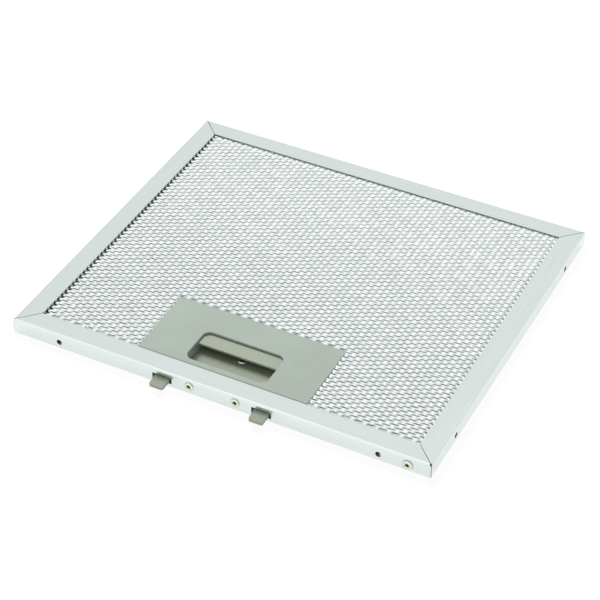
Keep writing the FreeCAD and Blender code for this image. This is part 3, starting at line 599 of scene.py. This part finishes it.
# %% Foil layers
for number in (1, 2, 3, 4):
    low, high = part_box(f"filter_layer_{number}")
    layer_bm = notched_sheet(layer_row, LAYER)
    settle(layer_bm, level=0, wave=0.1 * MM, stretch=0.6 * MM, steep_dive=0, hollow_dive=0)
    print("layer", number, "lies from", round(low.z / MM, 2), "to", round(high.z / MM, 2), "mm")
    if number % 2:
        # Upside down in height alone, the strands lean the other way
        bmesh.ops.scale(layer_bm, vec=(1, 1, -1), verts=layer_bm.verts[:])
        bmesh.ops.recalc_face_normals(layer_bm, faces=layer_bm.faces[:])
    bmesh.ops.translate(layer_bm, vec=(0, 0, (low.z + high.z) / 2), verts=layer_bm.verts[:])
    finish_piece(
        layer_bm,
        f"foil_layer_{number}",
        [foil_with_painted_shade],
        f"filter_layer_{number}",
    )

# %% [markdown]
# ## Rivets
#
# The rivets are tubular: a dished head, a shank through the sheets, and an end rolled
# over behind. Their section is drawn once as a closed line and spun round its axis.
# Each face takes its finish from its distance to that axis: bore, dish or head.

# %% Spun rivets
RIVET_STEPS = 28
DISH_RADIUS = 1.6 * MM
BORE_RADIUS = 1.1 * MM
POCKET_FLOOR = 3.4 * MM


def spun_rivet(name, node, head, grip, facing):
    """Rivet in the place of its node: head radius and grip in mm, facing the way it looks."""
    section = [
        (0.85, 0.2), (1.25, 0.45), (1.6, 0.85), (1.9, 1.05), (2.3, 1.02), (head - 0.55, 0.82),
        (head - 0.1, 0.52), (head, 0.32), (head - 0.2, 0.22), (2.1, 0), (1.7, 0), (1.7, -grip),
        (2.5, -grip), (1.9, -grip - 0.25), (0.85, -grip - 0.28),
    ]
    bm = bmesh.new()
    points = [bm.verts.new((radius * MM, 0, height * MM)) for radius, height in section]
    line = [bm.edges.new((a, b)) for a, b in zip(points, points[1:] + points[:1])]
    bmesh.ops.spin(
        bm, geom=points + line, axis=(0, 0, 1), cent=(0, 0, 0), angle=2 * math.pi, steps=RIVET_STEPS,
        use_merge=True,
    )
    bmesh.ops.remove_doubles(bm, verts=bm.verts[:], dist=0.001 * MM)
    bmesh.ops.recalc_face_normals(bm, faces=bm.faces[:])
    for face in bm.faces:
        face.smooth = True
        radius = face.calc_center_median().xy.length
        face.material_index = (radius < DISH_RADIUS) + (radius < BORE_RADIUS)
    low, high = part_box(node)
    seat = (low + high) / 2
    if facing == "front":
        bmesh.ops.rotate(bm, matrix=Matrix.Rotation(math.pi / 2, 3, "X"), verts=bm.verts[:])
        seat.y = CHANNEL_LOW.y
    else:
        seat.z = POCKET_FLOOR
    bmesh.ops.translate(bm, vec=seat, verts=bm.verts[:])
    finish_piece(bm, name, [zinc_plating, worn_chromate, chromate_and_painted_bore_shade], node)


spun_rivet("left_web_rivet", "handle_rivet_left", 3.25, 2.3, "front")
spun_rivet("right_web_rivet", "handle_rivet_right", 3.25, 2.3, "front")
spun_rivet("closing_corner_rivet", "corner_rivet", 3.9, 1.7, "front")
spun_rivet("pocket_floor_rivet", "floor_rivet", 3.5, 3.0, "up")

# %% [markdown]
# ## Return springs
#
# A spring is a small circle spun with a step forward at each turn, the screw of a spin.

# %% Wound springs
COIL_TURNS = 8
COIL_STEPS = 18
WIRE = 0.6 * MM
END_PLAY = 0.05 * MM

for side in ("left", "right"):
    node = f"return_spring_{side}"
    low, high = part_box(node)
    length = high.y - low.y
    rise = (length - WIRE - 2 * END_PLAY) / (COIL_TURNS * COIL_STEPS)
    bm = bmesh.new()
    # The circle is made in the XY plane, which at this place lies across the coil's path
    ring = bmesh.ops.create_circle(bm, segments=8, radius=WIRE / 2)["verts"]
    bmesh.ops.translate(bm, vec=((high.x - low.x - WIRE) / 2, WIRE / 2 + END_PLAY, 0), verts=ring)
    bmesh.ops.spin(
        bm, geom=bm.verts[:] + bm.edges[:], axis=(0, 1, 0), cent=(0, 0, 0), dvec=(0, rise, 0),
        angle=2 * math.pi * COIL_TURNS, steps=COIL_TURNS * COIL_STEPS,
    )
    bmesh.ops.holes_fill(bm, edges=[edge for edge in bm.edges if edge.is_boundary], sides=0)
    bmesh.ops.recalc_face_normals(bm, faces=bm.faces[:])
    for face in bm.faces:
        face.smooth = True
    middle = (low + high) / 2
    bmesh.ops.translate(bm, vec=(middle.x, low.y, middle.z), verts=bm.verts[:])
    spring = finish_piece(bm, f"wound_spring_{side}", [spring_steel], node)
    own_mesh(spring)

# %% [markdown]
# ## Finishes of the CAD nodes
#
# The folded channel, the handle's mouldings and the washer are right as solids, so they
# stay and only get their finish.

# %% CAD finishes
FINISHES = {
    "frame_channel": rolled_aluminium,
    "handle_plate": sage_abs,
    "handle_tray": pocket_shaded_tray_abs,
    "latch_slider": warm_abs,
    "rivet_washer": zinc_plating,
}
for name, material in FINISHES.items():
    mesh = nodes[name].data
    mesh.materials.clear()
    mesh.materials.append(material)
print(len(FINISHES), "CAD nodes have a finish")

# %% [markdown]
# ## Floor and light
#
# The photograph was taken on white paper in a pale room, with most of the light from
# above and behind. The paper is a plane that glows a little, so that the picture's ground
# is white without more light on the object, and it still takes the object's shadow. Its
# glow has three strengths: one seen, one mirrored by the metal and one thrown on matt
# surfaces.

# %% Floor
PAPER_GLOW = 0.9
PAPER_MIRRORED = 0.95
PAPER_BOUNCE = 0.9


def white_rays(tree):
    """Socket that is 1 for rays from the camera or through glass, and the gloss socket."""
    rays = add_node(tree, "ShaderNodeLightPath")
    plain = add_node(
        tree,
        "ShaderNodeMath",
        {"operation": "MAXIMUM"},
        {0: rays.outputs["Is Camera Ray"], 1: rays.outputs["Is Transmission Ray"]},
    )
    return plain.outputs[0], rays.outputs["Is Glossy Ray"]


bpy.ops.mesh.primitive_plane_add(size=8)
floor = bpy.context.object
floor.name = "floor"
paper = bpy.data.materials.new("white_studio_paper")
paper.use_nodes = True
tree = paper.node_tree
shader = tree.nodes["Principled BSDF"]
shader.inputs["Base Color"].default_value = linear("#757575")
shader.inputs["Roughness"].default_value = 0.9
shader.inputs["Specular IOR Level"].default_value = 0
shader.inputs["Emission Color"].default_value = linear("#FFFFFF")
plain, gloss = white_rays(tree)
mirrored = add_node(
    tree,
    "ShaderNodeMix",
    {"data_type": "FLOAT"},
    {"Factor": gloss, "A": PAPER_BOUNCE, "B": PAPER_MIRRORED},
)
glow = add_node(
    tree,
    "ShaderNodeMix",
    {"data_type": "FLOAT"},
    {"Factor": plain, "A": mirrored.outputs["Result"], "B": PAPER_GLOW},
)
tree.links.new(glow.outputs["Result"], shader.inputs["Emission Strength"])
floor.data.materials.append(paper)
print("the floor is laid")

# %% [markdown]
# Metal shows the room and matt plastic shows where the light falls from, so they need
# different light. The world is weak for matt rays. To glossy rays it is a white room with
# a pale ceiling and front wall, a shaded wall on the left and a greyer patch beside the
# camera, which keeps the bright bonds of the mesh apart. A photographer would hang grey
# cards there; tones of the world do the same and can't be seen.

# %% World
MATT_LIGHT = 0.24
LEFT_WALL_TONE = 0.66
CAMERA_SIDE = (0.57, -0.4, 0.72)
CAMERA_SIDE_TONE = 0.78
FRONT_WALL_TONE = 1.15
BACK_WALL_TONE = 0.94
CEILING_TONE = 1.18

world = bpy.data.worlds.new("studio")
bpy.context.scene.world = world
world.use_nodes = True
tree = world.node_tree
background = tree.nodes["Background"]
background.inputs["Color"].default_value = linear("#FFFFFF")
sky = add_node(tree, "ShaderNodeTexCoord")
way = add_node(tree, "ShaderNodeSeparateXYZ", inputs={0: sky.outputs["Generated"]})
toward_camera = add_node(
    tree,
    "ShaderNodeVectorMath",
    {"operation": "DOT_PRODUCT"},
    {0: sky.outputs["Generated"], 1: CAMERA_SIDE},
)
# Each side of the room: how far a ray points to it, from where to where, and the tones there
room = None
for side, first, last, first_tone, last_tone in (
    (way.outputs["X"], -0.95, -0.45, LEFT_WALL_TONE, 1),
    (toward_camera.outputs["Value"], 0.75, 0.95, 1, CAMERA_SIDE_TONE),
    (way.outputs["Y"], -0.2, 0.5, FRONT_WALL_TONE, BACK_WALL_TONE),
    (way.outputs["Z"], 0.62, 0.85, 1, CEILING_TONE),
):
    tone = add_node(
        tree,
        "ShaderNodeMapRange",
        inputs={
            "Value": side,
            "From Min": first,
            "From Max": last,
            "To Min": first_tone,
            "To Max": last_tone,
        },
    )
    room = add_node(
        tree,
        "ShaderNodeMath",
        {"operation": "MULTIPLY"},
        {0: tone.outputs["Result"], 1: room.outputs[0] if room else 1},
    )
plain, gloss = white_rays(tree)
lit = add_node(
    tree,
    "ShaderNodeMix",
    {"data_type": "FLOAT"},
    {"Factor": gloss, "A": MATT_LIGHT, "B": room.outputs[0]},
)
strength = add_node(
    tree, "ShaderNodeMix", {"data_type": "FLOAT"}, {"Factor": plain, "A": lit.outputs["Result"], "B": 1}
)
tree.links.new(strength.outputs["Result"], background.inputs["Strength"])
print("the world gives", MATT_LIGHT, "of the matt light")

# %% [markdown]
# One large soft lamp behind the filter, up on the left, gives the pocket its shade and
# the object its shadow. The metal doesn't mirror it, because its square would show.

# %% Lamp
LAMP_PLACE = Vector((-0.85, 0.9, 1.4))
LAMP_SIZE = 1.0
LAMP_POWER = 38

lamp_data = bpy.data.lights.new("overhead", "AREA")
lamp_data.size = LAMP_SIZE
lamp_data.energy = LAMP_POWER
lamp = bpy.data.objects.new("overhead", lamp_data)
lamp.location = LAMP_PLACE
lamp.rotation_mode = "QUATERNION"
lamp.rotation_quaternion = (-LAMP_PLACE).to_track_quat("-Z", "Y")
lamp.visible_glossy = False
bpy.context.collection.objects.link(lamp)
print("the lamp gives", LAMP_POWER, "W")

# %% [markdown]
# ## View settings
#
# The picture uses the standard view transform.

# %% View settings
bpy.context.scene.view_settings.view_transform = "Standard"
